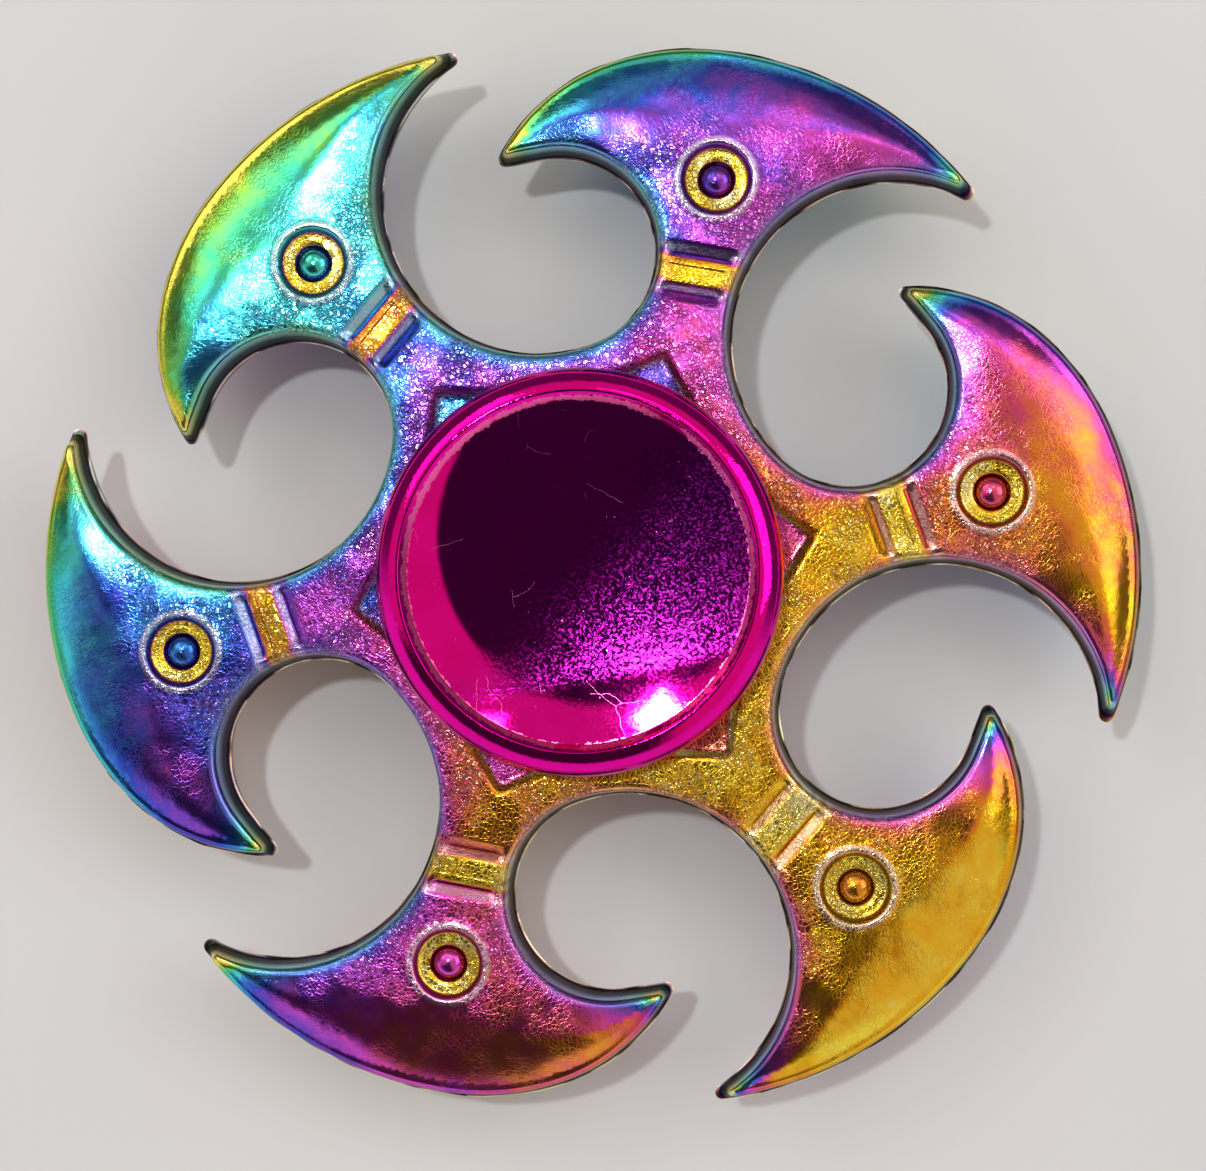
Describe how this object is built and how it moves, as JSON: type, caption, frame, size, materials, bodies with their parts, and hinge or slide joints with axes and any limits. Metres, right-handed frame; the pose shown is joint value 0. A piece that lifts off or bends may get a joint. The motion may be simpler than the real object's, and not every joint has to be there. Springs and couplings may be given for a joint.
{
  "type": "fidget spinner",
  "caption": "Flat finger spinner whose ring of sickle-shaped blades turns freely on a ball bearing held between two dished finger caps.",
  "frame": {"origin": "middle of the bearing, on the spin axis, halfway between the two finger caps", "axes": "+Z along the spin axis, out of the upper cap; +X along the middle line of one blade"},
  "size_m": [0.0634, 0.0628, 0.012],
  "materials": {
    "rainbow_zinc": "gloss",
    "anodised_cap": "gloss",
    "bearing_steel": "gloss",
    "ball_steel": "polished",
    "stamped_steel": "satin",
    "spring_steel": "satin"
  },
  "bodies": {
    "hub": {"bearing_inner_race": "bearing_steel", "upper_cap": "anodised_cap", "lower_cap": "anodised_cap"},
    "rotor": {"spinner_body": "rainbow_zinc", "bearing_outer_race": "bearing_steel", "upper_shield": "stamped_steel", "lower_shield": "stamped_steel", "upper_snap_ring": "spring_steel", "lower_snap_ring": "spring_steel"},
    "cage": {"upper_cage_half": "stamped_steel", "lower_cage_half": "stamped_steel", "cage_rivet_1": "spring_steel", "cage_rivet_2": "spring_steel", "cage_rivet_3": "spring_steel", "cage_rivet_4": "spring_steel", "cage_rivet_5": "spring_steel", "cage_rivet_6": "spring_steel", "cage_rivet_7": "spring_steel"},
    "ball_1": {"bearing_ball_1": "ball_steel"},
    "ball_2": {"bearing_ball_2": "ball_steel"},
    "ball_3": {"bearing_ball_3": "ball_steel"},
    "ball_4": {"bearing_ball_4": "ball_steel"},
    "ball_5": {"bearing_ball_5": "ball_steel"},
    "ball_6": {"bearing_ball_6": "ball_steel"},
    "ball_7": {"bearing_ball_7": "ball_steel"}
  },
  "joints": [
    {"name": "body_spin", "type": "hinge", "parent": "hub", "child": "rotor", "pos_m": [0, 0, 0], "axis": [0, 0, 1], "continuous": true},
    {"name": "cage_orbit", "type": "hinge", "parent": "hub", "child": "cage", "pos_m": [0, 0, 0], "axis": [0, 0, 1], "continuous": true},
    {"name": "ball_1_roll", "type": "hinge", "parent": "cage", "child": "ball_1", "pos_m": [0.0075, 0, 0], "axis": [0, 0, 1], "continuous": true},
    {"name": "ball_2_roll", "type": "hinge", "parent": "cage", "child": "ball_2", "pos_m": [0.00468, 0.00586, 0], "axis": [0, 0, 1], "continuous": true},
    {"name": "ball_3_roll", "type": "hinge", "parent": "cage", "child": "ball_3", "pos_m": [-0.00167, 0.00731, 0], "axis": [0, 0, 1], "continuous": true},
    {"name": "ball_4_roll", "type": "hinge", "parent": "cage", "child": "ball_4", "pos_m": [-0.00676, 0.00325, 0], "axis": [0, 0, 1], "continuous": true},
    {"name": "ball_5_roll", "type": "hinge", "parent": "cage", "child": "ball_5", "pos_m": [-0.00676, -0.00325, 0], "axis": [0, 0, 1], "continuous": true},
    {"name": "ball_6_roll", "type": "hinge", "parent": "cage", "child": "ball_6", "pos_m": [-0.00167, -0.00731, 0], "axis": [0, 0, 1], "continuous": true},
    {"name": "ball_7_roll", "type": "hinge", "parent": "cage", "child": "ball_7", "pos_m": [0.00468, -0.00586, 0], "axis": [0, 0, 1], "continuous": true}
  ],
  "couplings": [
    {"joint": "cage_orbit", "follows": "body_spin", "ratio": 0.6323},
    {"joint": "ball_1_roll", "follows": "body_spin", "ratio": 1.7573},
    {"joint": "ball_2_roll", "follows": "body_spin", "ratio": 1.7573},
    {"joint": "ball_3_roll", "follows": "body_spin", "ratio": 1.7573},
    {"joint": "ball_4_roll", "follows": "body_spin", "ratio": 1.7573},
    {"joint": "ball_5_roll", "follows": "body_spin", "ratio": 1.7573},
    {"joint": "ball_6_roll", "follows": "body_spin", "ratio": 1.7573},
    {"joint": "ball_7_roll", "follows": "body_spin", "ratio": 1.7573}
  ]
}
